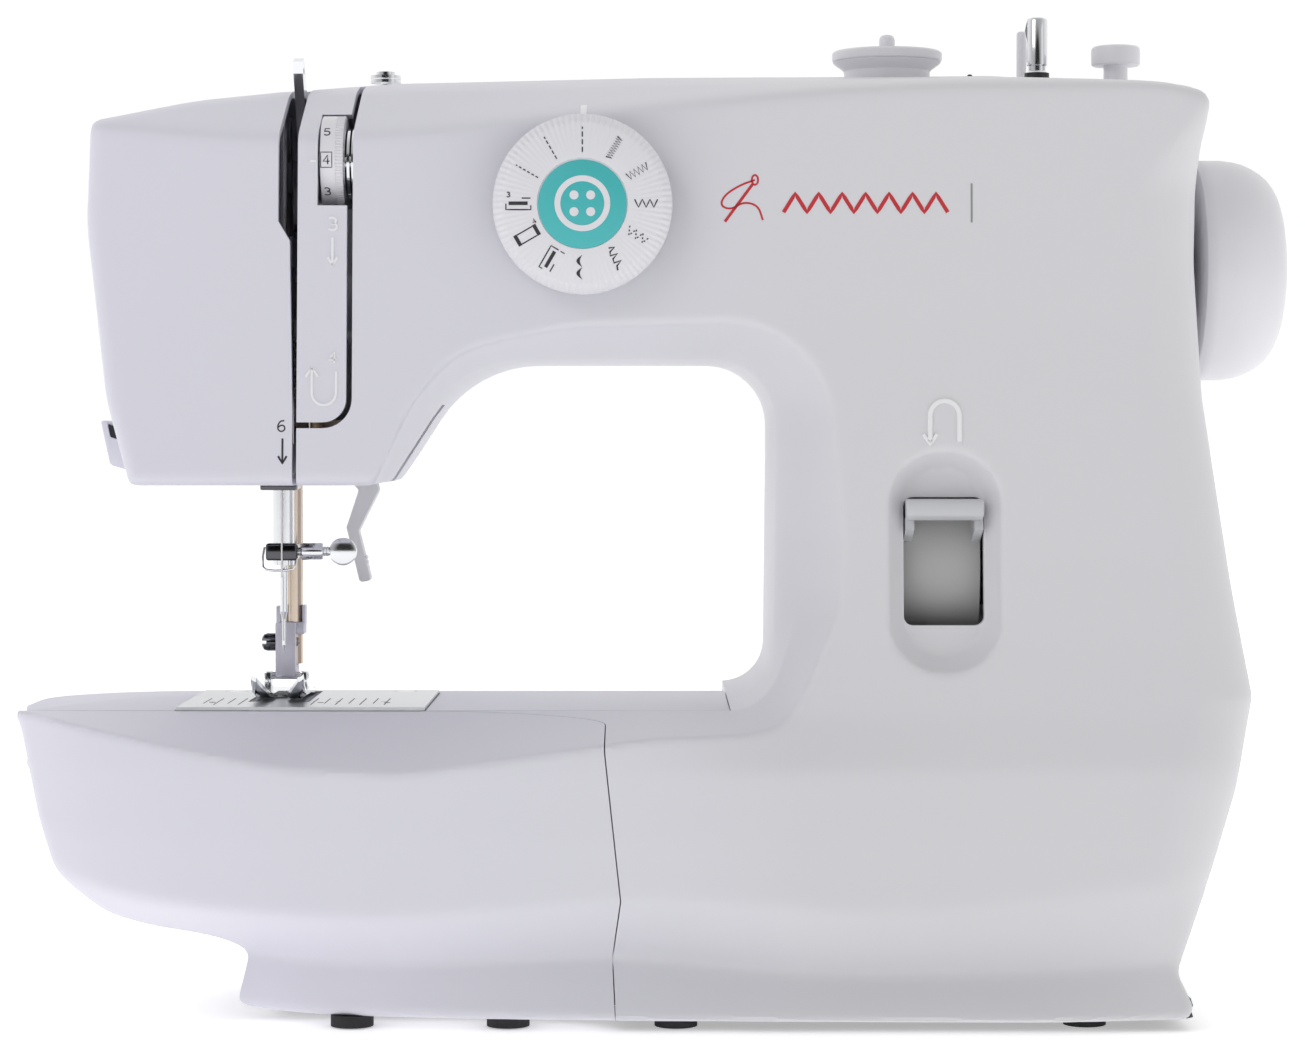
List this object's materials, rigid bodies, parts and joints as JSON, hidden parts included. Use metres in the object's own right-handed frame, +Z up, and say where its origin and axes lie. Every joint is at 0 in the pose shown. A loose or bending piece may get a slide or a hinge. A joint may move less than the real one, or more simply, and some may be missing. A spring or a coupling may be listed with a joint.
{
  "type": "sewing machine",
  "caption": "Domestic free-arm sewing machine with stitch dial, tension wheel, reverse lever, handwheel, winder, slide-off extension table, and its drive, needle and shuttle parts",
  "frame": {"origin": "on the table, under the centre of the bounding box", "axes": "+X towards the handwheel, -Y is the front that faces the user, +Z up"},
  "size_m": [0.3388, 0.152, 0.2663],
  "materials": {
    "cover_white": "matte injection-moulded plastic",
    "control_white": "satin moulded plastic",
    "badge_teal": "satin printed disc",
    "polished_steel": "polished and nickel-plated",
    "brushed_plate": "brushed, engraved",
    "bar_steel": "polished, warm reflection",
    "machined_steel": "machined and oiled",
    "cast_frame": "die-cast aluminium",
    "sintered_bronze": "sintered bronze",
    "black_plastic": "moulded plastic",
    "dark_metal": "black oxide",
    "foot_rubber": "soft rubber",
    "belt_rubber": "reinforced rubber",
    "lever_grey": "satin plastic",
    "cam_nylon": "nylon",
    "lamp_lens": "clear-white lens",
    "bobbin_clear": "clear plastic",
    "thread_white": "polyester thread"
  },
  "bodies": {
    "machine": {"front_cover": "cover_white", "rear_cover": "cover_white", "face_cover": "cover_white", "base_tray": "black_plastic", "rubber_feet": "foot_rubber", "free_arm_cover": "cover_white", "needle_plate": "brushed_plate", "needle_plate_screws": "polished_steel", "cover_screws": "dark_metal", "frame_casting": "cast_frame", "shaft_bushings": "sintered_bronze", "bobbin_stopper": "control_white", "spool_seat": "control_white", "winder_thread_guide": "dark_metal", "winder_tension_discs": "polished_steel", "thread_cutter": "control_white", "tension_discs": "polished_steel", "shuttle_race": "machined_steel", "bobbin_case": "polished_steel", "motor": "dark_metal", "drive_belt": "belt_rubber", "timing_belt": "belt_rubber", "socket_panel": "black_plastic", "led_lamp": "lamp_lens", "presser_spring": "machined_steel"},
    "drive": {"handwheel": "control_white", "main_shaft": "machined_steel", "main_pulley": "black_plastic", "needle_crank": "machined_steel"},
    "motor_rotor": {"motor_pulley": "machined_steel"},
    "lower_drive": {"lower_shaft": "machined_steel"},
    "stitch_selector": {"pattern_dial": "control_white", "dial_badge": "badge_teal", "pattern_cams": "cam_nylon"},
    "tension_wheel": {"tension_dial": "control_white"},
    "take_up": {"take_up_lever": "polished_steel"},
    "needle_carrier": {"needle_bar": "polished_steel", "needle_bar_link": "machined_steel", "needle_clamp": "polished_steel", "needle": "polished_steel", "needle_thread": "thread_white"},
    "needle_screw": {"needle_clamp_screw": "polished_steel"},
    "presser": {"presser_bar": "bar_steel", "foot_holder": "control_white", "foot_holder_screw": "dark_metal"},
    "foot": {"presser_foot": "polished_steel"},
    "lifter": {"presser_lifter": "lever_grey"},
    "reverse": {"reverse_lever": "control_white"},
    "winder_slide": {"winder_carriage": "black_plastic"},
    "winder": {"winder_spindle": "polished_steel"},
    "front_spool_pin": {"spool_pin": "control_white"},
    "back_spool_pin": {"rear_spool_pin": "control_white"},
    "feed": {"feed_dog": "machined_steel"},
    "rocker": {"rocker_gear": "machined_steel"},
    "hook": {"shuttle_hook": "machined_steel"},
    "bobbin_body": {"bobbin": "bobbin_clear"},
    "table": {"extension_table": "cover_white", "table_feet": "foot_rubber"},
    "door": {"shuttle_door": "cover_white"},
    "switch": {"power_switch": "black_plastic"}
  },
  "joints": [
    {"name": "handwheel_spin", "type": "hinge", "parent": "machine", "child": "drive", "pos_m": [0.1473, 0.005, 0.196], "axis": [1, 0, 0], "continuous": true},
    {"name": "motor_spin", "type": "hinge", "parent": "machine", "child": "motor_rotor", "pos_m": [0.1213, -0.024, 0.046], "axis": [1, 0, 0], "continuous": true},
    {"name": "lower_shaft_spin", "type": "hinge", "parent": "machine", "child": "lower_drive", "pos_m": [-0.0027, 0.005, 0.04], "axis": [1, 0, 0], "continuous": true},
    {"name": "stitch_dial_turn", "type": "hinge", "parent": "machine", "child": "stitch_selector", "pos_m": [-0.0204, -0.057, 0.2097], "axis": [0, 1, 0], "continuous": true},
    {"name": "tension_turn", "type": "hinge", "parent": "machine", "child": "tension_wheel", "pos_m": [-0.0857, -0.035, 0.2218], "axis": [1, 0, 0], "range_deg": [-132, 165]},
    {"name": "needle_bar_slide", "type": "slide", "parent": "machine", "child": "needle_carrier", "axis": [0, 0, 1], "range_m": [-0.03, 0]},
    {"name": "take_up_turn", "type": "hinge", "parent": "machine", "child": "take_up", "pos_m": [-0.096, 0, 0.213], "axis": [1, 0, 0], "range_deg": [0, 45]},
    {"name": "needle_screw_turn", "type": "hinge", "parent": "needle_carrier", "child": "needle_screw", "pos_m": [-0.0927, -0.01, 0.1201], "axis": [1, 0, 0], "range_deg": [0, 360]},
    {"name": "lifter_turn", "type": "hinge", "parent": "machine", "child": "lifter", "pos_m": [-0.0927, 0.0235, 0.146], "axis": [0, -1, 0], "range_deg": [0, 30]},
    {"name": "presser_bar_slide", "type": "slide", "parent": "machine", "child": "presser", "axis": [0, 0, 1], "range_m": [0, 0.006], "deforming": ["presser_spring"]},
    {"name": "foot_tilt", "type": "hinge", "parent": "presser", "child": "foot", "pos_m": [-0.1016, -0.004, 0.0864], "axis": [1, 0, 0], "range_deg": [-1.5, 1.5]},
    {"name": "reverse_press", "type": "hinge", "parent": "machine", "child": "reverse", "pos_m": [0.0725, -0.012, 0.118], "axis": [1, 0, 0], "range_deg": [0, 32], "stiffness_Nm_per_rad": 0.3, "springref_deg": -17.19},
    {"name": "winder_shift", "type": "slide", "parent": "machine", "child": "winder_slide", "axis": [1, 0, 0], "range_m": [0, 0.0045]},
    {"name": "winder_spin", "type": "hinge", "parent": "winder_slide", "child": "winder", "pos_m": [0.1032, 0.018, 0.258], "axis": [0, 0, 1], "continuous": true},
    {"name": "spool_pin_slide", "type": "slide", "parent": "machine", "child": "front_spool_pin", "axis": [0, 0, 1], "range_m": [0, 0.033]},
    {"name": "rear_spool_pin_slide", "type": "slide", "parent": "machine", "child": "back_spool_pin", "axis": [0, 0, 1], "range_m": [0, 0.03]},
    {"name": "feed_slide", "type": "slide", "parent": "machine", "child": "feed", "axis": [0, 1, 0], "range_m": [-0.002, 0.002]},
    {"name": "rocker_turn", "type": "hinge", "parent": "machine", "child": "rocker", "pos_m": [-0.0736, 0.01, 0.048], "axis": [0, 1, 0], "range_deg": [-30, 30]},
    {"name": "hook_turn", "type": "hinge", "parent": "machine", "child": "hook", "pos_m": [-0.1016, 0.01, 0.048], "axis": [0, 1, 0], "range_deg": [-90, 90]},
    {"name": "bobbin_spin", "type": "hinge", "parent": "machine", "child": "bobbin_body", "pos_m": [-0.1016, -0.026, 0.048], "axis": [0, 1, 0], "continuous": true},
    {"name": "table_slide", "type": "slide", "parent": "machine", "child": "table", "axis": [-1, 0, 0], "range_m": [0, 0.2]},
    {"name": "shuttle_door_turn", "type": "hinge", "parent": "machine", "child": "door", "pos_m": [-0.1017, -0.0396, 0.0372], "axis": [1, 0, 0], "range_deg": [0, 70]},
    {"name": "switch_rock", "type": "hinge", "parent": "machine", "child": "switch", "pos_m": [0.1385, 0.033, 0.065], "axis": [0, 1, 0], "range_deg": [-8, 8]}
  ],
  "couplings": [
    {"joint": "motor_spin", "follows": "handwheel_spin", "ratio": 3},
    {"joint": "lower_shaft_spin", "follows": "handwheel_spin", "ratio": 1},
    {"joint": "take_up_turn", "follows": "needle_bar_slide", "rad_per_m": -26.18},
    {"joint": "lifter_turn", "follows": "presser_bar_slide", "rad_per_m": 87.266},
    {"joint": "hook_turn", "follows": "rocker_turn", "ratio": -3}
  ]
}
